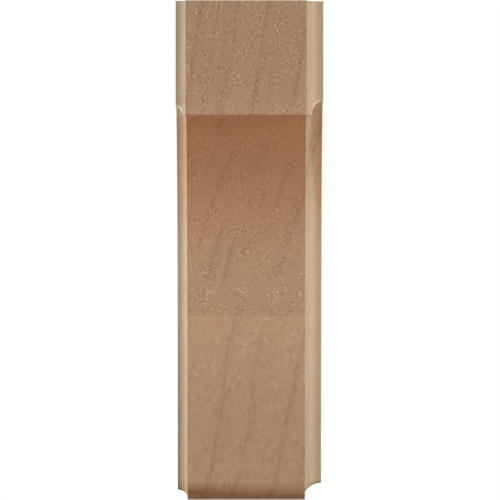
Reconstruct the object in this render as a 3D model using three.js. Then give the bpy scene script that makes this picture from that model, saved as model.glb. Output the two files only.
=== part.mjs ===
// A wooden corbel carved from one solid block. A square top block stands over a stepped-back concave
// sweep, which eases into a long leg with a rounded foot. A cove runs along each front edge, from the
// top face round the step and the foot to the wall, and the two coves differ in size.
// Millimetres, +Z up. The wall face is the plane y = 0 and the front looks along -Y.

import * as THREE from 'three';

// Driving dimensions of the block
const WIDTH = 88.9;
const HEIGHT = 304.8;
const DEPTH = 152.4;

// Driving dimensions of the side profile, with tilts in degrees from upright
const BLOCK_HEIGHT = 69.1;
const STEP_DEPTH = 25.4;
const STEP_FILLET = 3;
const SWEEP_RADIUS = 228.6;
const SWEEP_TOP_TILT = 33;
const LEG_TOP_TILT = 7;
const LEG_FOOT_TILT = 2;
const FOOT_RADIUS = 12.7;

// The leg's face stands slightly proud below a short sloped ledge, and fades into the profile at the foot
const LEDGE_ABOVE_FOOT = 114.7;
const LEDGE_PROUD = 0.6;
const LEDGE_SLOPE_HEIGHT = 0.9;

// Coves, seen from the front. Each is an arc centred on the side face's plane, a little in front of the
// front face, so it meets that face in a small shoulder. Radius and set-out are shares of the width.
const LEFT_COVE_WIDTH = 6;
const RIGHT_COVE_WIDTH = 10.1;
const COVE_RADIUS_SHARE = 1.15;
const COVE_SET_OUT_SHARE = 0.105;
const SHOULDER_DRAFT = 0.1;

// Under the block a cove ends in a narrower and squarer curve, a superellipse of this power
const LEFT_UNDER_HEIGHT = 4.8;
const RIGHT_UNDER_HEIGHT = 8.3;
const UNDER_WIDTH_SHARE = 0.68;
const UNDER_POWER = 2.5;

// Facets on each round stretch
const FILLET_STEPS = 6;
const SWEEP_STEPS = 24;
const UPPER_LEG_STEPS = 6;
const LOWER_LEG_STEPS = 14;
const FOOT_STEPS = 10;
const LEFT_COVE_STEPS = 10;
const RIGHT_COVE_STEPS = 14;

// Finish of bare, sanded hardwood
const WOOD = { color: 0xa88568, roughness: 0.72, metalness: 0 };

// Levels that follow from the driving dimensions
const FRONT_Y = -DEPTH;
const TOP_Z = HEIGHT / 2;
const FOOT_Z = -HEIGHT / 2;
const STEP_Z = TOP_Z - BLOCK_HEIGHT;

const sine = (tilt) => Math.sin(THREE.MathUtils.degToRad(tilt));
const cosine = (tilt) => Math.cos(THREE.MathUtils.degToRad(tilt));
const tiltOf = (value) => THREE.MathUtils.radToDeg(Math.asin(value));

// A point of the side profile, the way the coves cut in from it, how far the leg's face is proud there, and
// whether the coves lift it by their height under the block instead
function profilePoint(y, z, inY, inZ, { proud = 0, underBlock = false } = {}) {
  return { y, z, inY, inZ, proud, underBlock };
}

// Points on an arc through start, from one tilt to another. A hollow arc curves away from the wood's
// inside and a round one about it, and the first point is left out where the profile already has it.
function arcPoints(start, radius, fromTilt, toTilt, steps, { round = false, first = 0 } = {}) {
  const reach = round ? -radius : radius;
  const centreY = start.y - reach * cosine(fromTilt);
  const centreZ = start.z - reach * sine(fromTilt);
  const points = [];
  for (let i = first; i <= steps; i++) {
    const tilt = THREE.MathUtils.lerp(fromTilt, toTilt, i / steps);
    const y = centreY + reach * cosine(tilt);
    const z = centreZ + reach * sine(tilt);
    points.push(profilePoint(y, z, cosine(tilt), sine(tilt)));
  }
  return points;
}

// The hollow below the step: a small fillet, then the sweep
function sweepPoints() {
  const underside = { y: FRONT_Y + STEP_DEPTH, z: STEP_Z };
  const fillet = arcPoints(underside, STEP_FILLET, 90, SWEEP_TOP_TILT, FILLET_STEPS);
  const start = fillet.at(-1);
  const sweep = arcPoints(start, SWEEP_RADIUS, SWEEP_TOP_TILT, LEG_TOP_TILT, SWEEP_STEPS, { first: 1 });
  return [...fillet, ...sweep];
}

// The leg: one long hollow arc tangent to the sweep, with the ledge across it
function legPoints(sweepEnd) {
  const legEndZ = FOOT_Z + FOOT_RADIUS * (1 - sine(LEG_FOOT_TILT));
  const radius = (sweepEnd.z - legEndZ) / (sine(LEG_TOP_TILT) - sine(LEG_FOOT_TILT));
  const tiltAt = (z) => tiltOf(sine(LEG_TOP_TILT) - (sweepEnd.z - z) / radius);
  const ledgeZ = FOOT_Z + LEDGE_ABOVE_FOOT;
  const ledgeTilt = tiltAt(ledgeZ);
  const proudTilt = tiltAt(ledgeZ - LEDGE_SLOPE_HEIGHT);
  const upper = arcPoints(sweepEnd, radius, LEG_TOP_TILT, ledgeTilt, UPPER_LEG_STEPS, { first: 1 });
  const [lowerStart] = arcPoints(upper.at(-1), radius, ledgeTilt, proudTilt, 1, { first: 1 });
  const lower = arcPoints(lowerStart, radius, proudTilt, LEG_FOOT_TILT, LOWER_LEG_STEPS);
  lower.forEach((point, i) => {
    point.proud = LEDGE_PROUD * (1 - i / LOWER_LEG_STEPS);
  });
  return [...upper, ...lower];
}

// The whole side profile, from the wall edge of the top face round the front to the wall edge of the foot
function sideProfile() {
  const sweep = sweepPoints();
  const leg = legPoints(sweep.at(-1));
  const foot = arcPoints(leg.at(-1), FOOT_RADIUS, LEG_FOOT_TILT, 90, FOOT_STEPS, { round: true, first: 1 });
  return [
    profilePoint(0, TOP_Z, 0, 0),
    profilePoint(FRONT_Y, TOP_Z, 1, 0),
    profilePoint(FRONT_Y, STEP_Z, 1, 0, { underBlock: true }),
    ...sweep,
    ...leg,
    ...foot,
    profilePoint(0, FOOT_Z, 0, 1),
  ];
}

// Stations across one cove, from the side face to the flat face. The profile is cut in by the arc's depth
// at that distance from the side, and the last station is the shoulder's edge on the face.
function coveStations(width, underHeight, steps) {
  const radius = COVE_RADIUS_SHARE * width;
  const setOut = COVE_SET_OUT_SHARE * width;
  const endAngle = tiltOf((width - SHOULDER_DRAFT) / radius);
  const stations = [];
  for (let i = 0; i <= steps; i++) {
    const angle = (endAngle * i) / steps;
    const fromSide = radius * sine(angle);
    const share = fromSide / (UNDER_WIDTH_SHARE * width);
    const under = underHeight * Math.max(0, 1 - share ** UNDER_POWER) ** (1 / UNDER_POWER);
    stations.push({ fromSide, inset: radius * cosine(angle) - setOut, under, onFace: false });
  }
  stations.push({ fromSide: width, inset: 0, under: 0, onFace: true });
  return stations;
}

// Cross stations from the left side face to the right one
function crossStations() {
  const half = WIDTH / 2;
  const left = coveStations(LEFT_COVE_WIDTH, LEFT_UNDER_HEIGHT, LEFT_COVE_STEPS);
  const right = coveStations(RIGHT_COVE_WIDTH, RIGHT_UNDER_HEIGHT, RIGHT_COVE_STEPS).reverse();
  return [
    ...left.map((station) => ({ ...station, x: -half + station.fromSide })),
    ...right.map((station) => ({ ...station, x: half - station.fromSide })),
  ];
}

// The profile as a ring of points at one station
function stationRing(profile, { inset, under, onFace }) {
  return profile.map((point) => {
    const cut = onFace ? -point.proud : inset;
    const lift = point.underBlock ? under : cut * point.inZ;
    return new THREE.Vector2(point.y + cut * point.inY, point.z + lift);
  });
}

// The closed body: rings joined station by station, with a flat side face at each end
function corbelGeometry() {
  const profile = sideProfile();
  const stations = crossStations();
  const rings = stations.map((station) => stationRing(profile, station));
  const ringSize = profile.length;
  const lastStart = (stations.length - 1) * ringSize;

  const positions = [];
  rings.forEach((ring, s) => ring.forEach((point) => positions.push(stations[s].x, point.x, point.y)));

  const triangles = [];
  for (let s = 0; s + 1 < stations.length; s++) {
    for (let i = 0; i < ringSize; i++) {
      const next = (i + 1) % ringSize;
      const a = s * ringSize + i;
      const b = s * ringSize + next;
      triangles.push(a, b, b + ringSize);
      triangles.push(a, b + ringSize, a + ringSize);
    }
  }
  for (const [i, j, k] of THREE.ShapeUtils.triangulateShape(rings[0], [])) {
    triangles.push(i, k, j);
  }
  for (const [i, j, k] of THREE.ShapeUtils.triangulateShape(rings.at(-1), [])) {
    triangles.push(lastStart + i, lastStart + j, lastStart + k);
  }

  const geometry = new THREE.BufferGeometry();
  geometry.setAttribute('position', new THREE.Float32BufferAttribute(positions, 3));
  geometry.setIndex(triangles);
  geometry.computeVertexNormals();
  return geometry;
}

const corbel = new THREE.Mesh(corbelGeometry(), new THREE.MeshStandardMaterial(WOOD));
corbel.name = 'corbel';

const part = new THREE.Group();
part.add(corbel);

export default part;
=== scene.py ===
"""A bare wooden corbel, seen straight from the front in a soft white studio. Metres, +Z up."""

import math

import bpy
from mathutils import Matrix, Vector, noise


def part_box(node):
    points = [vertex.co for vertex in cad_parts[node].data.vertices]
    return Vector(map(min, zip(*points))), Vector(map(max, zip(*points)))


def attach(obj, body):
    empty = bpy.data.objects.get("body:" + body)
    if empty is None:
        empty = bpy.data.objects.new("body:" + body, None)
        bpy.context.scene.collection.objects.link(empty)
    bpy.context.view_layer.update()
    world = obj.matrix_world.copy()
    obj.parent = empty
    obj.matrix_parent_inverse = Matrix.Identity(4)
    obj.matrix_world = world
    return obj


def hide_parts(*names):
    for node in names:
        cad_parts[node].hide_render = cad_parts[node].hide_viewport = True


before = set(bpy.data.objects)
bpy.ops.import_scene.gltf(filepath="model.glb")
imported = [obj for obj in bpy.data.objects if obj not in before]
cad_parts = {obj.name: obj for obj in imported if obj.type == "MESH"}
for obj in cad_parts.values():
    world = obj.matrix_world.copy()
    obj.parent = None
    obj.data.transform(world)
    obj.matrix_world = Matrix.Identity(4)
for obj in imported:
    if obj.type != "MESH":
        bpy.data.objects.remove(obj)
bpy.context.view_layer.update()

NODE = "corbel"
BODY = "root"

# Levels of the block, from the frame
LOW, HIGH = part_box(NODE)
FRONT_Y = LOW.y
WALL_Y = HIGH.y
FOOT_Z = LOW.z
TOP_Z = HIGH.z

# Side profile, with tilts in degrees from upright
BLOCK_HEIGHT = 0.0691
STEP_DEPTH = 0.0254
STEP_FILLET = 0.003
SWEEP_RADIUS = 0.2286
SWEEP_TOP_TILT = 33
LEG_TOP_TILT = 7
LEG_FOOT_TILT = 2
FOOT_RADIUS = 0.0127
STEP_Z = TOP_Z - BLOCK_HEIGHT

# The leg's face stands slightly proud below a short sloped ledge
LEDGE_ABOVE_FOOT = 0.1147
LEDGE_PROUD = 0.0006
LEDGE_SLOPE_HEIGHT = 0.0009
LEDGE_Z = FOOT_Z + LEDGE_ABOVE_FOOT

# Widths of the coves. Each is an arc centred on the side face's plane, a little in front of the front face,
# so it meets that face in a small shoulder. Radius and set-out are shares of the width.
LEFT_COVE = 0.006
RIGHT_COVE = 0.0101
COVE_RADIUS = 1.15
COVE_SET_OUT = 0.105
SHOULDER_DRAFT = 0.0001

# Under the block a cove ends in a narrower and squarer curve, a superellipse of this power. The edge there
# is rounded over more where the cove is deeper.
LEFT_UNDER_HEIGHT = 0.0048
RIGHT_UNDER_HEIGHT = 0.0083
UNDER_WIDTH = 0.68
UNDER_POWER = 2.5
ROUND_SHARE = 0.12

# How far the cutter's arrises, the block's corners and the step's lower edge are eased
ARRIS = 0.0003
CORNER = 0.0005
STEP_EASE = 0.0009

# Mesh fineness
FACE_STEP = 0.0008
PLAIN_STEP = 0.004
COVE_STEPS = 18
SHOULDER_STEPS = 3
CORNER_STEPS = 3
STEP_STEPS = 6
NORMAL_WEIGHT = 100

# Relief cut into the front faces
WAVE_DEPTH = 0.00012
WAVE_LENGTH = 0.038
FIBRE_DEPTH = 0.00004
FIBRE_WIDTH = 0.0018
FIBRE_LENGTH = 0.020
FUZZ_DEPTH = 0.00003
FUZZ_SIZE = 0.0012
SMOOTH_FUZZ = 0.3

# The material's sizes and places are in millimetres, from here to the camera. First the block's levels again.
MILLIMETRES = 1000
SIDE = HIGH.x * MILLIMETRES
LEFT_EDGE = (LOW.x + LEFT_COVE) * MILLIMETRES
RIGHT_EDGE = (HIGH.x - RIGHT_COVE) * MILLIMETRES
FRONT = FRONT_Y * MILLIMETRES
FOOT = FOOT_Z * MILLIMETRES
LEDGE = LEDGE_Z * MILLIMETRES
STEP = STEP_Z * MILLIMETRES
TOP = TOP_Z * MILLIMETRES

# Where one part of the surface gives way to the next, by distance or by the lean of the normal
COVE_EDGE_FADE = 0.4
LEDGE_FADE = 0.5
SIDE_FADE = (0.03, 0.2)
END_FADE = (0.3, 0.05)
FACE_LEAN = (-0.3, -0.6)
CARVED_LEAN = (0.5, 0.2)
DOWN_LEAN = (-0.5, -0.9)
BEHIND_BLOCK = (13.0, 16.0)
UNDERSIDE_HEIGHTS = (70.0, 80.0)
NOOK_HEIGHTS = (82.0, 86.0)
NOOK_DEPTHS = (12.0, 14.0)

# The growth rings are planes that lean back and to the side, and the fibres lean to the right
RING_NORMAL = Vector((1.0, 0.61, -0.155))
FIBRE = Vector((0.155, 0.0, 1.0)).normalized()
RING_SIDE = FIBRE.cross(RING_NORMAL).normalized()

# Latewood lines on the front: place along the ring normal from the front face, darkness, width, length of
# the soft tail (to the right where positive), lowest and highest level where the line shows
LATEWOOD = (
    (-51.9, 0.17, 2.0, 9, 76, 160), (-41.7, 0.08, 2.0, -4, 76, 160), (-29.9, 0.13, 2.4, -14, 76, 160),
    (-12.0, 0.19, 1.8, 9, 76, 160), (-2.9, 0.08, 2.0, 5, 76, 160), (13.0, 0.16, 2.0, -4, 90, 160),
    (-7.0, 0.06, 2.2, 5, 45, 72), (4.5, 0.11, 3.0, 5, 5, 66), (22.5, 0.10, 4.0, -4, 50, 72),
    (43.3, 0.10, 3.0, -5, 28, 55), (15.4, 0.16, 2.2, 6, -18, 17), (25.2, 0.18, 2.2, 4, -18, 8),
    (58.7, 0.13, 2.2, -6, -14, 60), (37.3, 0.13, 3.0, 10, -160, -33), (55.4, 0.09, 3.2, 13, -160, -45),
    (82.3, 0.14, 3.4, 5, -160, -40), (68, 0.08, 2.2, 5, 30, 60), (97, 0.08, 2.2, 6, -160, 160),
    (108, 0.10, 2.2, 6, -160, 160), (121, 0.08, 2.2, 6, -160, 160), (133, 0.12, 2.2, 6, -160, 160),
    (146, 0.08, 2.2, 6, -160, 160), (158, 0.10, 2.2, 6, -160, 160),
)
TAIL_SHARE = 0.45
LINE_FADE = 6

# Strength of the lines off the face, in the brown, partly shaded streak and at the foot
SIDE_LINES = 0.4
LINES_IN_BROWN_SHADOW = 1.1
FOOT_LINES = 1.4
FOOT_LINE_HEIGHTS = (-138.0, -150.0)

# The rings bend sideways half-way down the leg, on its left, and wander a little everywhere
BEND = 3.4
BEND_HEIGHTS = (-70, -90)
BEND_PLACES = (80, 62)
WANDER = 1.6
RIPPLE = 1.2

# Noises, as sizes along three axes and detail. The first six follow the grain (across, beside and along
# it), and the others lie in the part's own frame.
DRIFT_NOISE = ((60, 60, 240), 1.0)
RIPPLE_NOISE = ((7, 7, 40), 2.0)
BREAK_NOISE = ((2.5, 2.5, 14), 2.0)
FIBRE_NOISE = ((1.6, 1.6, 18), 2.0)
BROAD_NOISE = ((18, 18, 120), 1.0)
HUE_NOISE = ((20, 20, 40), 1.0)
PATCH_NOISE = ((8, 8, 10), 2.0)
FUZZ_NOISE = ((1.25, 1.25, 1.5), 1.0)
FELT_NOISE = ((2.4, 2.4, 3.4), 2.0)
CUTTER_NOISE = ((0.9, 0.9, 70), 1.0)
FOOT_NOISE = ((9, 9, 200), 1.0)

# Where the lines break up: a range of their noise, and the strengths at its ends
BREAK_RANGE = (-0.3, 0.3)
BREAK_LEVELS = (0.5, 1.5)

# Flecks of fuzz above the ledge and softer felt below it, strong in some patches and weak in others
PATCH_RANGE = (-0.22, 0.22)
FUZZ_LEVELS = (0.3, 1.9)
FELT_LEVELS = (0.05, 0.95)
SWEEP_FUZZ_HEIGHTS = (-10.0, 80.0)
SWEEP_FUZZ = (0.81, 0.61)
BLOCK_FUZZ_HEIGHTS = (83.0, 84.0)
BLOCK_FUZZ = 1.02
FLECK_BASE = 0.6
FLECK_CONTRAST = 3.0
FLECK_PALENESS = 0.7

# Strength of the fuzz on the end faces, of the fibres everywhere and of the cutter's marks in the coves
END_FUZZ = 0.5
FIBRE_MARKS = 0.12
CUTTER_MARKS = 0.12

# Roughness over a range of the fuzz, and the bump, whose distance is in metres
ROUGHNESS_RANGE = (-0.3, 0.3)
ROUGHNESS = (0.55, 0.68)
BUMP_STRENGTH = 0.6
BUMP_DISTANCE = 0.0001
FIBRE_BUMP = 0.5

# Wood colours, linear: smooth cut wood, paler and whiter than the face partly as painted sheen and side
# light; rough face grain; a painted highlight for the arris under the block; and tints that multiply them
SMOOTH_WOOD_WITH_SHEEN = (0.50, 0.356, 0.227)
FACE_WOOD = (0.452, 0.271, 0.153)
# The pale mitre colour is a painted highlight along the arris under the block
MITRE_HIGHLIGHT = (0.80, 0.63, 0.49)
END_TINT = (0.88, 0.615, 0.435)
# The brown tint is partly browner wood and partly painted shadow of the block in the right cove
BROWN_SHADOW_TINT = (0.78, 0.67, 0.55)
WARM_TINT = (1.0, 0.93, 0.83)
# The dark rim tint is painted shade along the rim of the foot's notches
RIM_SHADE_TINT = (0.70, 0.63, 0.60)

# Colours that are taken off by the ring lines, and added by the specks and by the slow change of hue
LINE_TINT = (0.9, 1.05, 1.15)
SPECK_TINT = (0.71, 1.0, 1.36)
HUE_TINT = (0.05, 0.0, -0.16)
PLAIN = (1, 1, 1)

# The brown streak in the right cove, partly browner wood and partly painted shadow of the block: its inner
# edge moves in between two levels and out again a little above, it starts softly from below, and it nearly
# ends under the block
STREAK_HEIGHTS = (28.0, 66.0)
STREAK_EDGES = (41.2, 36.2)
STREAK_TURN_HEIGHTS = (68.0, 80.0)
STREAK_TURN = 0.9
STREAK_FADE = (-0.9, 1.1)
STREAK_START = (12.0, 34.0)
STREAK_END = (87.0, 91.0)
STREAK_REST = 0.2

# Lightness of the front faces and of the two coves by height, partly painted light: the falloff of the studio
# light toward the top and the bottom, a painted highlight and shade at the ledge, painted light under the
# step and down the coves. Warmth of the left cove, and brown with painted shadow of the right, by height
FACE_LIGHT_AND_TONE = (
    (-152.4, 0.44), (-151, 0.64), (-147, 0.86), (-142, 0.905), (-102, 0.92), (-65, 1.03), (-38.9, 1.11),
    (-37.9, 0.96), (-36.9, 0.94), (-35.6, 0.99), (9, 1.07), (54, 0.96), (75, 1.03), (82.1, 1.12),
    (84.1, 0.98), (98, 0.91), (125, 0.88), (152.4, 0.88),
)
LEFT_COVE_LIGHT_AND_TONE = ((-152.4, 0.93), (-60, 1.02), (-20, 1.1), (30, 1.18), (82, 1.14), (88, 0.97), (152.4, 0.9))
RIGHT_COVE_LIGHT_AND_TONE = (
    (-152.4, 0.88), (-128, 0.885), (-89, 0.94), (-50, 1.0), (-16, 1.04), (45, 1.11), (82, 1.0),
    (88, 0.95), (152.4, 0.95),
)
LEFT_WARMTH = (
    (-152.4, 1.0), (-130, 1.0), (-115, 0.8), (-88, 0.25), (-50, 0.0), (-24, 0.35), (3, 0.0),
    (27, 0.4), (50, 1.0), (67, 1.0), (80, 0.5), (84, 0.0), (152.4, 0.0),
)
RIGHT_BROWN_AND_SHADOW = ((-152.4, 0.0), (5, 0.0), (28, 0.2), (49, 0.6), (67, 0.65), (79, 0.4), (88, 0.3), (152.4, 0.3))
TONE_RANGE = (0.4, 1.6)
SHARE_RANGE = (0.0, 1.0)

# At the foot the face darkens higher up on the left than on the right, and unevenly
FOOT_LEAN_PLACES = (-38.0, 34.0)
FOOT_LEAN = (3.6, -4.4)
FOOT_UNEVEN = 5.0
FOOT_LEAN_HEIGHTS = (-120.0, -142.0)
FOOT_LEVEL_HEIGHTS = (-149.5, -146.5)

# Lightness across the part, and across each cove from its edge on the face; the one across the coves is
# painted light of the side softboxes
BROAD_TONE = 0.10
ACROSS_PLACES = (-38.0, 30.0)
ACROSS_TONE = (1.035, 0.985)
LEFT_RAMP = (-3.4, -1.8)
LEFT_RAMP_HEIGHTS = (60.0, 0.0)
LEFT_RAMP_LIGHT = 1.11
RIGHT_RAMP = (0.8, 4.0)
RIGHT_RAMP_LIGHTS = (0.95, 1.05)

# A darker band near each side face, lighter where the right one is in the brown, partly shaded streak
LEFT_BAND = (-42.6, -44.2)
LEFT_BAND_HEIGHTS = (-30.0, -140.0)
LEFT_BAND_DARK = 0.42
RIGHT_BAND = (39.2, 41.4)
RIGHT_BAND_DARK = 0.12
RIGHT_BAND_IN_BROWN_SHADOW = -0.06

# Painted light that lifts the shade of the step's underside and of the coves' nooks below the block
UNDERSIDE_PAINTED_LIGHT = 1.15
LEFT_NOOK_PAINTED_LIGHT = 1.2
RIGHT_NOOK_PAINTED_LIGHT = 1.1
RIGHT_NOOK_HEIGHTS = (86.5, 90.0)

# End grain by how far the surface turns across the fibres, on the face, in the coves and anywhere, and the
# share of it that is left in the nooks
FACE_END_LEAN = (-0.08, -0.55)
COVE_END_LEAN = (0.15, 1.0)
COVE_END_HEIGHTS = (-130.0, -60.0)
FULL_END_LEAN = (0.75, 1.0)
LEFT_NOOK_END = 0.2
RIGHT_NOOK_END = 0.65

# At the foot it shows more on the left, and fully on the last few millimetres
FOOT_END_HEIGHTS = (-148.0, -130.0)
FOOT_END_PLACES = (-38.0, 30.0)
FOOT_END = (1.22, 0.5)
FOOT_EDGE_HEIGHTS = (-150.5, -147.0)
FOOT_EDGE_END = 1.15

# The painted highlight along the arris under the block: for each cove its strength, and the shares of the
# cove's width between which it fades in upward. It lies close above the edge and close to the cove's surface.
LEFT_MITRE = (0.85, 0.1, 0.4)
RIGHT_MITRE = (0.5, 0.38, 0.62)
MITRE_ABOVE = (2.6, 1.0)
MITRE_BEHIND = (2.4, 1.4)
MITRE_SHARES = (1.15, 0.95)
MITRE_REST = 0.15
MITRE_DEPTHS = (13.0, 12.0)

# Painted shade along the rim of the coves' notches at the foot, by height above the notch
RIM_SHADE_ABOVE = (1.7, 0.5)

# Camera, in metres
CAMERA_DISTANCE = 2.3
CAMERA_X = 0.0003
CAMERA_Z = 0.00275
FRAME_PIXELS = 500
PIXEL_AT_FRONT = 0.000599
SENSOR = 36.0

# Studio: a tall softbox on each side, as (azimuth from the front, power)
SOFTBOXES = ((58, 10.5), (-86, 11.5))
SOFTBOX_DISTANCE = 1.3
SOFTBOX_SIZE = (0.6, 1.0)
FLOOR_DROP = 1.8
FLOOR_SIZE = 1.4
FLOOR_COLOUR = (0.8, 0.8, 0.8, 1)

# Strength of the surroundings' light by direction: to the back, below and above
WHITE = (1, 1, 1, 1)
BACK_RANGE = (-0.1, 0.6)
BACK_LIGHT = (0.72, 1.2)
BELOW_RANGE = (-0.95, -0.3)
BELOW_LIGHT = (0.05, 0.8)
ABOVE_RANGE = (0.0, 1.0)
ABOVE_LIGHT = (0.0, 0.35)


def turn(tilt):
    """The way into the wood from a surface that leans by tilt degrees, as (y, z)."""
    return math.cos(math.radians(tilt)), math.sin(math.radians(tilt))


def ring_arc(start, radius, from_tilt, to_tilt, steps, inset=0.0, hollow=True):
    """Points (y, z, tilt) on an arc through start, cut in by inset. A hollow arc bends away from the wood."""
    reach = radius if hollow else -radius
    y, z = turn(from_tilt)
    centre_y = start[0] - reach * y
    centre_z = start[1] - reach * z
    points = []
    for i in range(steps + 1):
        tilt = from_tilt + (to_tilt - from_tilt) * i / steps
        y, z = turn(tilt)
        points.append((centre_y + (reach + inset) * y, centre_z + (reach + inset) * z, tilt))
    return points


def ring_corner(y, z, from_tilt, to_tilt, radius=CORNER, steps=CORNER_STEPS):
    """An eased square corner."""
    to_y, to_z = turn(to_tilt)
    start = (y + radius * to_y, z + radius * to_z)
    return ring_arc(start, radius, from_tilt, to_tilt, steps, hollow=False)


def ring_line(start, end, steps):
    """Points between two others, without them, on a flat stretch."""
    points = []
    for i in range(1, steps):
        t = i / steps
        y = start[0] + (end[0] - start[0]) * t
        z = start[1] + (end[1] - start[1]) * t
        points.append((y, z, start[2]))
    return points


def steps_for(length, step=FACE_STEP):
    return max(1, round(length / step))


def front_curves():
    """The hollow and round stretches below the step, as (start, radius, from, to, steps, hollow)."""
    curves = []

    def add(start, radius, from_tilt, to_tilt, hollow=True):
        steps = steps_for(radius * abs(math.radians(to_tilt - from_tilt)))
        curves.append((start, radius, from_tilt, to_tilt, steps, hollow))
        return ring_arc(start, radius, from_tilt, to_tilt, 1, hollow=hollow)[-1]

    sweep_start = add((FRONT_Y + STEP_DEPTH, STEP_Z), STEP_FILLET, 90, SWEEP_TOP_TILT)
    leg_start = add(sweep_start, SWEEP_RADIUS, SWEEP_TOP_TILT, LEG_TOP_TILT)
    leg_end_z = FOOT_Z + FOOT_RADIUS * (1 - turn(LEG_FOOT_TILT)[1])
    lean = turn(LEG_TOP_TILT)[1] - turn(LEG_FOOT_TILT)[1]
    leg_end = add(leg_start, (leg_start[1] - leg_end_z) / lean, LEG_TOP_TILT, LEG_FOOT_TILT)
    add(leg_end, FOOT_RADIUS, LEG_FOOT_TILT, 90, hollow=False)
    return curves


CURVES = front_curves()
LEG_REACH = ring_arc(*CURVES[-1][:4], 1, hollow=False)[-1][0]


def profile_ring(inset, under):
    """The closed side profile cut in by inset, and under the block by under, as points (y, z, tilt)."""
    ring = ring_corner(WALL_Y, TOP_Z, 180, 270)
    front_top = ring_corner(FRONT_Y + inset, TOP_Z, -90, 0)
    ring += ring_line(ring[-1], front_top[0], steps_for(WALL_Y - FRONT_Y, PLAIN_STEP))
    ring += front_top
    step = ring_corner(FRONT_Y + inset, STEP_Z + under, 0, 90, STEP_EASE + ROUND_SHARE * inset, STEP_STEPS)
    ring += ring_line(front_top[-1], step[0], steps_for(BLOCK_HEIGHT))
    ring += step
    for index, (start, radius, from_tilt, to_tilt, steps, hollow) in enumerate(CURVES):
        arc = ring_arc(start, radius, from_tilt, to_tilt, steps, inset, hollow)
        if index == 0:
            ring += ring_line(step[-1], arc[0], steps_for(STEP_DEPTH))
            ring += arc
        else:
            ring += arc[1:]
    wall_foot = ring_corner(WALL_Y, FOOT_Z + inset, 90, 180)
    ring += ring_line(ring[-1], wall_foot[0], steps_for(WALL_Y - LEG_REACH, PLAIN_STEP))
    ring += wall_foot
    ring += ring_line(wall_foot[-1], ring[0], steps_for(TOP_Z - FOOT_Z, PLAIN_STEP))
    return ring


def eased_arris():
    """A quarter round for an arris, as (distance from its start, distance in from its end)."""
    angles = [math.radians(90 * i / CORNER_STEPS) for i in range(CORNER_STEPS + 1)]
    return [(ARRIS * (1 - math.cos(angle)), ARRIS * (1 - math.sin(angle))) for angle in angles]


def cove_section(width):
    """Half of the cross section, from the side face in to the flat face, as (distance from side, inset)."""
    radius = COVE_RADIUS * width
    set_out = COVE_SET_OUT * width
    end_angle = math.asin((width - SHOULDER_DRAFT) / radius)
    shoulder = radius * math.cos(end_angle) - set_out
    section = [(across, radius - set_out + inset) for across, inset in eased_arris()]
    for i in range(1, COVE_STEPS + 1):
        angle = end_angle * i / COVE_STEPS
        section.append((max(ARRIS, radius * math.sin(angle)), radius * math.cos(angle) - set_out))
    for i in range(1, SHOULDER_STEPS):
        t = i / SHOULDER_STEPS
        section.append((width - SHOULDER_DRAFT * (1 - t), shoulder + (ARRIS - shoulder) * t))
    section += [(width + across, inset) for across, inset in eased_arris()]
    return section


def cove_stations(width, under_height):
    """Stations (distance from the side, inset, cut up into the block's underside) across one cove."""
    stations = []
    for from_side, inset in cove_section(width):
        share = from_side / (UNDER_WIDTH * width)
        under = under_height * max(0.0, 1 - share ** UNDER_POWER) ** (1 / UNDER_POWER)
        stations.append((from_side, inset, under))
    return stations


def cross_stations():
    """Stations (x, inset, cut under the block) from the left side face to the right one."""
    left = [(LOW.x + d, inset, under) for d, inset, under in cove_stations(LEFT_COVE, LEFT_UNDER_HEIGHT)]
    right = [(HIGH.x - d, inset, under) for d, inset, under in cove_stations(RIGHT_COVE, RIGHT_UNDER_HEIGHT)]
    right.reverse()
    start = left[-1][0]
    end = right[0][0]
    steps = steps_for(end - start)
    face = [(start + (end - start) * i / steps, 0.0, 0.0) for i in range(1, steps)]
    return left + face + right


def ledge_amount(z):
    """How far the leg's face is proud at height z: the short slope, then a long fade to the foot."""
    if z > LEDGE_Z:
        return 0.0
    slope = min(1.0, (LEDGE_Z - z) / LEDGE_SLOPE_HEIGHT)
    fade = (z - FOOT_Z - FOOT_RADIUS) / (LEDGE_ABOVE_FOOT - FOOT_RADIUS)
    return LEDGE_PROUD * slope * max(0.0, fade)


def unit_noise(point):
    """Noise from 0 to 1."""
    return 0.5 + 0.5 * noise.noise(point)


def relief(x, y, z):
    """Depth of the waviness, fibres and fuzz at a point of the front."""
    point = Vector((x, y, z))
    across = point.dot(RING_NORMAL) / FIBRE_WIDTH
    along = point.dot(FIBRE) / FIBRE_LENGTH
    wave = WAVE_DEPTH * unit_noise(point / WAVE_LENGTH)
    fibre = FIBRE_DEPTH * unit_noise(Vector((across, along, 0.0)))
    fuzz = FUZZ_DEPTH * unit_noise(point / FUZZ_SIZE)
    if z <= LEDGE_Z:
        fuzz *= SMOOTH_FUZZ
    return wave + fibre + fuzz


def station_vertices(x, inset, under):
    """The profile at one station, with the relief and the ledge on the front face."""
    on_face = max(0.0, 1 - inset / ARRIS)
    vertices = []
    for y, z, tilt in profile_ring(inset, under):
        into_y, into_z = turn(tilt)
        cut = 0.0
        if 0 <= tilt < 90 and on_face > 0:
            cut = on_face * (relief(x, y, z) * into_y - ledge_amount(z))
        vertices.append((x, y + cut * into_y, z + cut * into_z))
    return vertices


def corbel_mesh():
    """The corbel's skin: the side profile carried across the stations, closed by two side faces."""
    rings = [station_vertices(*station) for station in cross_stations()]
    size = len(rings[0])
    last = (len(rings) - 1) * size
    faces = []
    for ring_start in range(0, last, size):
        for i in range(size):
            a = ring_start + i
            b = ring_start + (i + 1) % size
            faces.append((a, b, b + size, a + size))
    faces.append(tuple(reversed(range(size))))
    faces.append(tuple(range(last, last + size)))
    mesh = bpy.data.meshes.new("corbel_wood")
    mesh.from_pydata([vertex for ring in rings for vertex in ring], [], faces)
    mesh.validate()
    mesh.polygons.foreach_set("use_smooth", [True] * len(mesh.polygons))
    mesh.update()
    return mesh


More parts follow.
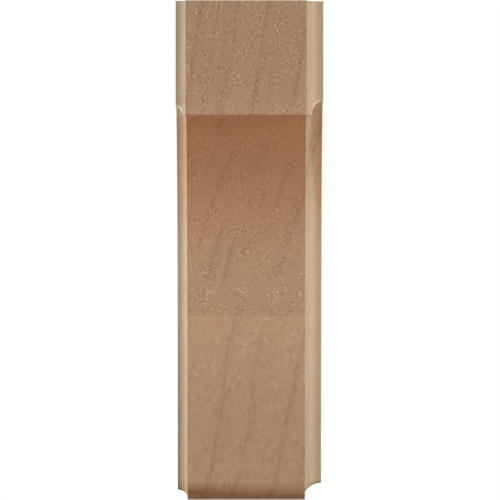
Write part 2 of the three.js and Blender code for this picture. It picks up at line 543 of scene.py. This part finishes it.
class Graph:
    """A node tree built with short calls. Every argument is a number, a tuple or another node's output."""

    def __init__(self, tree):
        self.tree = tree
        tree.nodes.clear()

    def node(self, kind, **settings):
        made = self.tree.nodes.new(kind)
        for name, value in settings.items():
            setattr(made, name, value)
        return made

    def put(self, socket, value):
        if isinstance(value, bpy.types.NodeSocket):
            self.tree.links.new(value, socket)
        else:
            socket.default_value = value

    def math(self, operation, a, b=0.0, c=0.0):
        made = self.node("ShaderNodeMath", operation=operation)
        for socket, value in zip(made.inputs, (a, b, c)):
            self.put(socket, value)
        return made.outputs[0]

    def vector(self, operation, a, b):
        made = self.node("ShaderNodeVectorMath", operation=operation)
        self.put(made.inputs[0], a)
        self.put(made.inputs["Scale" if operation == "SCALE" else 1], b)
        return made.outputs["Value" if operation == "DOT_PRODUCT" else "Vector"]

    def combine(self, x, y, z):
        made = self.node("ShaderNodeCombineXYZ")
        for socket, value in zip(made.inputs, (x, y, z)):
            self.put(socket, value)
        return made.outputs[0]

    def split(self, value):
        made = self.node("ShaderNodeSeparateXYZ")
        self.put(made.inputs[0], value)
        return made.outputs

    def product(self, *factors):
        total = factors[0]
        for factor in factors[1:]:
            total = self.math("MULTIPLY", total, factor)
        return total

    def spread(self, value, from_low, from_high, to_low=0.0, to_high=1.0, smooth=True):
        """A ramp from to_low to to_high while value goes from from_low to from_high."""
        kind = "SMOOTHSTEP" if smooth else "LINEAR"
        made = self.node("ShaderNodeMapRange", interpolation_type=kind)
        self.put(made.inputs["Value"], value)
        made.inputs["From Min"].default_value = from_low
        made.inputs["From Max"].default_value = from_high
        self.put(made.inputs["To Min"], to_low)
        self.put(made.inputs["To Max"], to_high)
        return made.outputs["Result"]

    def where(self, mask, inside, outside=1.0):
        """The inside value where mask is 1 and the outside one where it is 0."""
        return self.spread(mask, 0.0, 1.0, outside, inside, smooth=False)

    def noise(self, position, sizes, detail):
        """Noise from -0.5 to 0.5 with features of the given sizes along the three coordinates."""
        made = self.node("ShaderNodeTexNoise", noise_dimensions="3D")
        self.put(made.inputs["Vector"], self.vector("DIVIDE", position, sizes))
        made.inputs["Scale"].default_value = 1.0
        made.inputs["Detail"].default_value = detail
        return self.math("SUBTRACT", made.outputs["Fac"], 0.5)

    def by_height(self, z, points, least, most):
        """A value from least to most that runs in straight lines through points (height, value)."""
        made = self.node("ShaderNodeFloatCurve")
        line = made.mapping.curves[0]
        while len(line.points) < len(points):
            line.points.new(0.5, 0.5)
        for point, (height, value) in zip(line.points, points):
            point.location = ((height - FOOT) / (TOP - FOOT), (value - least) / (most - least))
            point.handle_type = "VECTOR"
        made.mapping.update()
        self.put(made.inputs["Value"], self.spread(z, FOOT, TOP, smooth=False))
        return self.where(made.outputs[0], most, least)

    def mix(self, amount, a, b):
        made = self.node("ShaderNodeMix", data_type="RGBA")
        self.put(made.inputs["Factor"], amount)
        colours = [socket for socket in made.inputs if socket.type == "RGBA"]
        self.put(colours[0], a)
        self.put(colours[1], b)
        return next(socket for socket in made.outputs if socket.type == "RGBA")

    def tint(self, amount, colour, tint):
        """A colour multiplied by a tint where amount is 1."""
        return self.mix(amount, colour, self.vector("MULTIPLY", colour, tint))


class Surface:
    """The point that is shaded: its place in millimetres, its place in the grain, and the parts it is on."""

    def __init__(self, graph):
        coordinates = graph.node("ShaderNodeTexCoord")
        self.place = graph.vector("SCALE", coordinates.outputs["Object"], MILLIMETRES)
        self.normal = coordinates.outputs["Normal"]
        self.x, y, self.z = graph.split(self.place)
        self.depth = graph.math("SUBTRACT", y, FRONT)
        self.find_grain(graph)
        self.find_parts(graph)

    def find_grain(self, graph):
        """The place across, beside and along the fibres, and how far the surface is turned toward them."""
        across = graph.vector("DOT_PRODUCT", self.place, RING_NORMAL)
        self.across = graph.math("SUBTRACT", across, RING_NORMAL.y * FRONT)
        beside = graph.vector("DOT_PRODUCT", self.place, RING_SIDE)
        along = graph.vector("DOT_PRODUCT", self.place, FIBRE)
        self.grain = graph.combine(self.across, beside, along)
        self.turned = graph.vector("DOT_PRODUCT", self.normal, FIBRE)

    def find_parts(self, graph):
        """Masks that are 1 on a part of the surface and 0 off it."""
        _, facing, facing_up = graph.split(self.normal)
        in_left = graph.spread(self.x, LEFT_EDGE, LEFT_EDGE - COVE_EDGE_FADE)
        in_right = graph.spread(self.x, RIGHT_EDGE, RIGHT_EDGE + COVE_EDGE_FADE)
        in_either = graph.math("MAXIMUM", in_left, in_right)
        self.in_left = in_left
        self.in_right = in_right
        self.between = graph.math("SUBTRACT", 1.0, in_either)
        self.face = graph.product(self.between, graph.spread(facing, *FACE_LEAN))

        level = graph.math("ABSOLUTE", self.z)
        self.end_face = graph.spread(level, TOP - END_FADE[0], TOP - END_FADE[1])
        reach = graph.math("ABSOLUTE", self.x)
        off_sides = graph.spread(reach, SIDE - SIDE_FADE[0], SIDE - SIDE_FADE[1])
        off_ends = graph.spread(self.end_face, 1.0, 0.0)
        self.carved = graph.product(off_sides, graph.spread(facing, *CARVED_LEAN), off_ends)
        self.in_cove = graph.product(self.carved, in_either)

        self.rough = graph.spread(self.z, LEDGE - LEDGE_FADE, LEDGE + LEDGE_FADE)
        self.smooth = graph.spread(self.rough, 1.0, 0.0)
        self.behind_block = graph.spread(self.depth, *BEHIND_BLOCK)
        downward = graph.spread(facing_up, *DOWN_LEAN)
        self.underside = graph.product(self.between, downward, graph.spread(self.z, *UNDERSIDE_HEIGHTS))
        nook = graph.product(
            self.carved, graph.spread(self.z, *NOOK_HEIGHTS), graph.spread(self.depth, *NOOK_DEPTHS)
        )
        self.left_nook = graph.product(nook, in_left)
        self.right_nook = graph.product(nook, in_right)


class Texture:
    """Fine marks that both the colour and the bump show: fibres, and fuzz with its strength."""

    def __init__(self, graph, at):
        self.fibres = graph.noise(at.grain, *FIBRE_NOISE)
        self.fuzz = graph.noise(at.place, *FUZZ_NOISE)
        self.patches = graph.noise(at.place, *PATCH_NOISE)
        below_step = graph.spread(at.z, *SWEEP_FUZZ_HEIGHTS, *SWEEP_FUZZ)
        strength = graph.spread(at.z, *BLOCK_FUZZ_HEIGHTS, below_step, BLOCK_FUZZ)
        by_patch = graph.spread(self.patches, *PATCH_RANGE, *FUZZ_LEVELS)
        self.fuzz_amount = graph.product(by_patch, at.rough, strength)


def latewood_lines(graph, at, ring_place):
    """Darkness of the growth rings' lines and of the soft tails beside them."""
    total = 0.0
    for place, dark, width, tail, lowest, highest in LATEWOOD:
        off = graph.math("SUBTRACT", ring_place, place)
        core = graph.spread(graph.math("ABSOLUTE", off), width, 0.0, 0.0, dark)
        fade = graph.spread(off, tail, 0.0, 0.0, dark * TAIL_SHARE, smooth=False)
        edge = graph.spread(off, -math.copysign(width, tail) / 2, 0.0)
        line = graph.math("MAXIMUM", core, graph.product(fade, edge))
        above = graph.spread(at.z, lowest - LINE_FADE, lowest + LINE_FADE)
        below = graph.spread(at.z, highest + LINE_FADE, highest - LINE_FADE)
        shown = graph.where(at.face, graph.product(above, below))
        total = graph.math("ADD", total, graph.product(line, shown))
    return total


def ring_darkness(graph, at, brown_and_shadow):
    """The ring lines as they wander, break up, and show more or less on each part."""
    bend = graph.product(graph.spread(at.z, *BEND_HEIGHTS), graph.spread(at.across, *BEND_PLACES))
    ring_place = graph.math("MULTIPLY_ADD", bend, -BEND, at.across)
    drift = graph.noise(at.grain, *DRIFT_NOISE)
    ring_place = graph.math("MULTIPLY_ADD", drift, WANDER, ring_place)
    ripple = graph.noise(at.grain, *RIPPLE_NOISE)
    ring_place = graph.math("MULTIPLY_ADD", ripple, RIPPLE, ring_place)

    breaks = graph.spread(graph.noise(at.grain, *BREAK_NOISE), *BREAK_RANGE, *BREAK_LEVELS)
    off_face = graph.where(brown_and_shadow, LINES_IN_BROWN_SHADOW, SIDE_LINES)
    strength = graph.where(graph.math("MAXIMUM", at.between, at.end_face), 1.0, off_face)
    foot = graph.spread(at.z, *FOOT_LINE_HEIGHTS, 1.0, FOOT_LINES)
    lines = latewood_lines(graph, at, ring_place)
    return graph.product(lines, breaks, strength, foot)


def speck_lightness(graph, at, texture):
    """How far flecks, felt, fibres and cutter marks lighten or darken the wood."""
    fuzz = texture.fuzz
    weight = graph.math("MULTIPLY_ADD", graph.math("ABSOLUTE", fuzz), FLECK_CONTRAST, FLECK_BASE)
    weight = graph.math("MULTIPLY_ADD", fuzz, FLECK_PALENESS, weight)
    flecks = graph.product(fuzz, weight, texture.fuzz_amount)

    felt = graph.noise(at.place, *FELT_NOISE)
    felt_amount = graph.product(graph.spread(texture.patches, *PATCH_RANGE, *FELT_LEVELS), at.smooth)
    specks = graph.product(graph.math("MULTIPLY_ADD", felt, felt_amount, flecks), at.face)
    specks = graph.math("MULTIPLY_ADD", graph.product(fuzz, at.end_face), END_FUZZ, specks)
    specks = graph.math("MULTIPLY_ADD", texture.fibres, FIBRE_MARKS, specks)
    cutter = graph.product(graph.noise(at.place, *CUTTER_NOISE), at.in_cove)
    return graph.math("MULTIPLY_ADD", cutter, CUTTER_MARKS, specks)


def brown_and_shadow_streak(graph, at):
    """How brown and shaded the right cove is, partly painted shadow of the block: the streak beside the side
    face over a general browning by height.
    """
    edge = graph.spread(at.z, *STREAK_HEIGHTS, *STREAK_EDGES, smooth=False)
    edge = graph.math("ADD", edge, graph.spread(at.z, *STREAK_TURN_HEIGHTS, 0.0, STREAK_TURN))
    past = graph.math("SUBTRACT", at.x, edge)
    streak = graph.product(graph.spread(past, *STREAK_FADE), graph.spread(at.z, *STREAK_START))
    brown_and_shadow = graph.math("MAXIMUM", streak, graph.by_height(at.z, RIGHT_BROWN_AND_SHADOW, *SHARE_RANGE))
    ending = graph.spread(at.z, *STREAK_END, 1.0, STREAK_REST)
    return graph.product(brown_and_shadow, at.behind_block, at.carved, at.in_right, ending)


def face_light_and_tone(graph, at):
    """Lightness of the front faces by height, partly painted light, with the uneven darkening at the foot."""
    lean = graph.spread(at.x, *FOOT_LEAN_PLACES, *FOOT_LEAN, smooth=False)
    uneven = graph.math("MULTIPLY_ADD", graph.noise(at.place, *FOOT_NOISE), FOOT_UNEVEN, lean)
    near_foot = graph.product(graph.spread(at.z, *FOOT_LEAN_HEIGHTS), graph.spread(at.z, *FOOT_LEVEL_HEIGHTS))
    level = graph.math("SUBTRACT", at.z, graph.product(uneven, near_foot))
    return graph.where(at.face, graph.by_height(level, FACE_LIGHT_AND_TONE, *TONE_RANGE))


def cove_light_and_tone(graph, at, brown_and_shadow):
    """Lightness of the coves, partly painted light of the softboxes: by height, across each one, and the
    darker bands near the side faces.
    """
    left_high = graph.spread(at.z, *LEFT_RAMP_HEIGHTS, 1.0, LEFT_RAMP_LIGHT)
    left_ramp = graph.spread(at.x, *(LEFT_EDGE + offset for offset in LEFT_RAMP), 1.0, left_high)
    right_ramp = graph.spread(at.x, *(RIGHT_EDGE + offset for offset in RIGHT_RAMP), *RIGHT_RAMP_LIGHTS)
    left = graph.product(graph.by_height(at.z, LEFT_COVE_LIGHT_AND_TONE, *TONE_RANGE), left_ramp)
    right = graph.product(graph.by_height(at.z, RIGHT_COVE_LIGHT_AND_TONE, *TONE_RANGE), right_ramp)

    left_dark = graph.spread(at.z, *LEFT_BAND_HEIGHTS, 0.0, LEFT_BAND_DARK, smooth=False)
    left_band = graph.product(graph.spread(at.x, *LEFT_BAND), left_dark)
    right_dark = graph.where(brown_and_shadow, RIGHT_BAND_IN_BROWN_SHADOW, RIGHT_BAND_DARK)
    right_band = graph.product(graph.spread(at.x, *RIGHT_BAND), right_dark)
    banded = graph.math("SUBTRACT", 1.0, graph.math("ADD", left_band, right_band))
    tone = graph.product(graph.where(at.in_left, left), graph.where(at.in_right, right), banded)
    return graph.where(at.in_cove, tone)


def wood_tone_and_light(graph, at, brown_and_shadow):
    """Lightness of the wood all over, partly painted light."""
    across = graph.spread(at.x, *ACROSS_PLACES, *ACROSS_TONE, smooth=False)
    tone = graph.math("MULTIPLY_ADD", graph.noise(at.grain, *BROAD_NOISE), BROAD_TONE, across)
    high_nook = graph.product(at.right_nook, graph.spread(at.z, *RIGHT_NOOK_HEIGHTS))
    return graph.product(
        tone,
        face_light_and_tone(graph, at),
        cove_light_and_tone(graph, at, brown_and_shadow),
        # Painted light lifting the shade of the step's underside and of the nooks under the block
        graph.where(at.underside, UNDERSIDE_PAINTED_LIGHT),
        graph.where(at.left_nook, LEFT_NOOK_PAINTED_LIGHT),
        graph.where(high_nook, RIGHT_NOOK_PAINTED_LIGHT),
    )


def end_grain(graph, at):
    """How much the surface shows end grain."""
    turned = graph.math("ABSOLUTE", at.turned)
    foot = graph.spread(at.x, *FOOT_END_PLACES, *FOOT_END, smooth=False)
    foot = graph.spread(at.z, *FOOT_END_HEIGHTS, foot, 1.0)
    foot = graph.spread(at.z, *FOOT_EDGE_HEIGHTS, FOOT_EDGE_END, foot)
    on_face = graph.product(at.face, graph.spread(at.turned, *FACE_END_LEAN, smooth=False), foot)
    in_cove = graph.spread(turned, *COVE_END_LEAN, smooth=False)
    in_cove = graph.product(in_cove, graph.spread(at.z, *COVE_END_HEIGHTS))
    anywhere = graph.spread(turned, *FULL_END_LEAN)
    shown = graph.math("MAXIMUM", graph.math("MAXIMUM", on_face, in_cove), anywhere)
    left = graph.where(at.left_nook, LEFT_NOOK_END)
    right = graph.where(at.right_nook, RIGHT_NOOK_END)
    return graph.product(shown, left, right)


def mitre_highlight_and_rim_shade(graph, at):
    """Where the painted highlight on the arris under the block and the painted shade on the rim of the foot's
    notches are, over both coves.
    """
    rise = graph.math("SUBTRACT", at.z, STEP)
    above_foot = graph.math("SUBTRACT", at.z, FOOT)
    from_side = graph.math("SUBTRACT", SIDE, graph.math("ABSOLUTE", at.x))
    mitre_highlight = 0.0
    rim_shade = 0.0
    for cove, under, inside, (strength, fade_low, fade_high) in (
        (LEFT_COVE * MILLIMETRES, LEFT_UNDER_HEIGHT * MILLIMETRES, at.in_left, LEFT_MITRE),
        (RIGHT_COVE * MILLIMETRES, RIGHT_UNDER_HEIGHT * MILLIMETRES, at.in_right, RIGHT_MITRE),
    ):
        squares = graph.math("SUBTRACT", (COVE_RADIUS * cove) ** 2, graph.product(from_side, from_side))
        inset = graph.math("SUBTRACT", graph.math("SQRT", squares), COVE_SET_OUT * cove)

        share = graph.math("DIVIDE", from_side, UNDER_WIDTH * cove)
        left_over = graph.math("SUBTRACT", 1.0, graph.math("POWER", share, UNDER_POWER))
        curve = graph.math("POWER", graph.math("MAXIMUM", 0.0, left_over), 1 / UNDER_POWER)
        above_edge = graph.math("SUBTRACT", rise, graph.product(curve, under))
        stripe = graph.product(
            graph.spread(above_edge, *MITRE_ABOVE),
            graph.spread(graph.math("SUBTRACT", at.depth, inset), *MITRE_BEHIND),
            graph.spread(rise, fade_low * cove, fade_high * cove),
            graph.spread(share, *MITRE_SHARES, MITRE_REST, 1.0),
            inside,
        )
        mitre_highlight = graph.math("MULTIPLY_ADD", stripe, strength, mitre_highlight)

        above_notch = graph.math("SUBTRACT", above_foot, inset)
        rim_shade = graph.math("ADD", rim_shade, graph.product(graph.spread(above_notch, *RIM_SHADE_ABOVE), inside))
    return graph.product(mitre_highlight, graph.spread(at.depth, *MITRE_DEPTHS)), graph.product(rim_shade, at.carved)


def wood_colour(graph, at, texture):
    """The whole colour: plain wood, its tints, then lines, specks, hue and lightness."""
    brown_and_shadow = brown_and_shadow_streak(graph, at)
    warm = graph.product(graph.by_height(at.z, LEFT_WARMTH, *SHARE_RANGE), at.carved, at.in_left)
    mitre_highlight, rim_shade = mitre_highlight_and_rim_shade(graph, at)
    # Off the front faces the wood is paler and whiter, partly a painted sheen of the side light
    colour = graph.mix(at.face, (*SMOOTH_WOOD_WITH_SHEEN, 1), (*FACE_WOOD, 1))
    colour = graph.tint(end_grain(graph, at), colour, END_TINT)
    # Browner wood and painted shadow of the block in the right cove
    colour = graph.tint(brown_and_shadow, colour, BROWN_SHADOW_TINT)
    colour = graph.tint(warm, colour, WARM_TINT)
    # Painted highlight along the arris under the block
    colour = graph.mix(mitre_highlight, colour, (*MITRE_HIGHLIGHT, 1))
    # Painted shade along the rim of the foot's notches
    colour = graph.tint(rim_shade, colour, RIM_SHADE_TINT)

    lines = graph.vector("SCALE", LINE_TINT, ring_darkness(graph, at, brown_and_shadow))
    colour = graph.vector("MULTIPLY", colour, graph.vector("SUBTRACT", PLAIN, lines))
    specks = graph.vector("SCALE", SPECK_TINT, speck_lightness(graph, at, texture))
    colour = graph.vector("MULTIPLY", colour, graph.vector("ADD", PLAIN, specks))
    hue = graph.vector("SCALE", HUE_TINT, graph.noise(at.grain, *HUE_NOISE))
    colour = graph.vector("MULTIPLY", colour, graph.vector("ADD", PLAIN, hue))
    return graph.vector("SCALE", colour, wood_tone_and_light(graph, at, brown_and_shadow))


def wood_material():
    material = bpy.data.materials.new("bare_wood")
    material.use_nodes = True
    graph = Graph(material.node_tree)
    at = Surface(graph)
    texture = Texture(graph, at)
    shader = graph.node("ShaderNodeBsdfPrincipled")
    graph.put(shader.inputs["Base Color"], wood_colour(graph, at, texture))
    graph.put(shader.inputs["Roughness"], graph.spread(texture.fuzz, *ROUGHNESS_RANGE, *ROUGHNESS))
    bump = graph.node("ShaderNodeBump")
    bump.inputs["Strength"].default_value = BUMP_STRENGTH
    bump.inputs["Distance"].default_value = BUMP_DISTANCE
    raised = graph.product(texture.fuzz, texture.fuzz_amount)
    graph.put(bump.inputs["Height"], graph.math("MULTIPLY_ADD", texture.fibres, FIBRE_BUMP, raised))
    graph.put(shader.inputs["Normal"], bump.outputs[0])
    output = graph.node("ShaderNodeOutputMaterial")
    graph.put(output.inputs["Surface"], shader.outputs[0])
    return material


def make_corbel():
    piece = bpy.data.objects.new("corbel_carved", corbel_mesh())
    bpy.context.collection.objects.link(piece)
    normals = piece.modifiers.new("flat_faces", "WEIGHTED_NORMAL")
    normals.weight = NORMAL_WEIGHT
    piece.data.materials.append(wood_material())
    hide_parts(NODE)
    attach(piece, BODY)


def make_camera():
    data = bpy.data.cameras.new("camera")
    data.sensor_width = SENSOR
    data.lens = SENSOR * CAMERA_DISTANCE / (PIXEL_AT_FRONT * FRAME_PIXELS)
    camera = bpy.data.objects.new("camera", data)
    camera.location = (CAMERA_X, FRONT_Y - CAMERA_DISTANCE, CAMERA_Z)
    camera.rotation_euler = (math.radians(90), 0, 0)
    bpy.context.collection.objects.link(camera)
    bpy.context.scene.camera = camera


def make_world():
    """White to the camera. Its light is bright behind the object, dim in front and dimmer below."""
    world = bpy.data.worlds.new("studio")
    world.use_nodes = True
    graph = Graph(world.node_tree)
    coordinates = graph.node("ShaderNodeTexCoord")
    _, y, z = graph.split(coordinates.outputs["Generated"])
    behind = graph.spread(y, *BACK_RANGE, *BACK_LIGHT)
    below = graph.spread(z, *BELOW_RANGE, *BELOW_LIGHT)
    above = graph.spread(z, *ABOVE_RANGE, *ABOVE_LIGHT)
    light = graph.node("ShaderNodeBackground")
    light.inputs["Color"].default_value = WHITE
    graph.put(light.inputs["Strength"], graph.product(behind, graph.math("ADD", below, above)))
    seen = graph.node("ShaderNodeBackground")
    seen.inputs["Color"].default_value = WHITE
    path = graph.node("ShaderNodeLightPath")
    mix = graph.node("ShaderNodeMixShader")
    graph.put(mix.inputs[0], path.outputs["Is Camera Ray"])
    graph.put(mix.inputs[1], light.outputs[0])
    graph.put(mix.inputs[2], seen.outputs[0])
    output = graph.node("ShaderNodeOutputWorld")
    graph.put(output.inputs["Surface"], mix.outputs[0])
    bpy.context.scene.world = world


def make_softboxes():
    """A tall softbox on each side, the right one more to the front."""
    target = (LOW + HIGH) / 2
    for azimuth, power in SOFTBOXES:
        data = bpy.data.lights.new("softbox", "AREA")
        data.shape = "RECTANGLE"
        data.size, data.size_y = SOFTBOX_SIZE
        data.energy = power
        light = bpy.data.objects.new("softbox", data)
        light.visible_camera = False
        angle = math.radians(azimuth)
        away = Vector((math.sin(angle), -math.cos(angle), 0.0))
        light.location = target + away * SOFTBOX_DISTANCE
        light.rotation_euler = away.to_track_quat("Z", "Y").to_euler()
        bpy.context.collection.objects.link(light)


def make_floor():
    half = FLOOR_SIZE / 2
    z = FOOT_Z - FLOOR_DROP
    mesh = bpy.data.meshes.new("floor")
    corners = [(-half, -half, z), (half, -half, z), (half, half, z), (-half, half, z)]
    mesh.from_pydata(corners, [], [(0, 1, 2, 3)])
    material = bpy.data.materials.new("pale_floor")
    material.use_nodes = True
    shader = material.node_tree.nodes["Principled BSDF"]
    shader.inputs["Base Color"].default_value = FLOOR_COLOUR
    mesh.materials.append(material)
    floor = bpy.data.objects.new("floor", mesh)
    bpy.context.collection.objects.link(floor)


make_corbel()
make_camera()
make_world()
make_softboxes()
make_floor()
bpy.context.scene.view_settings.view_transform = "Standard"
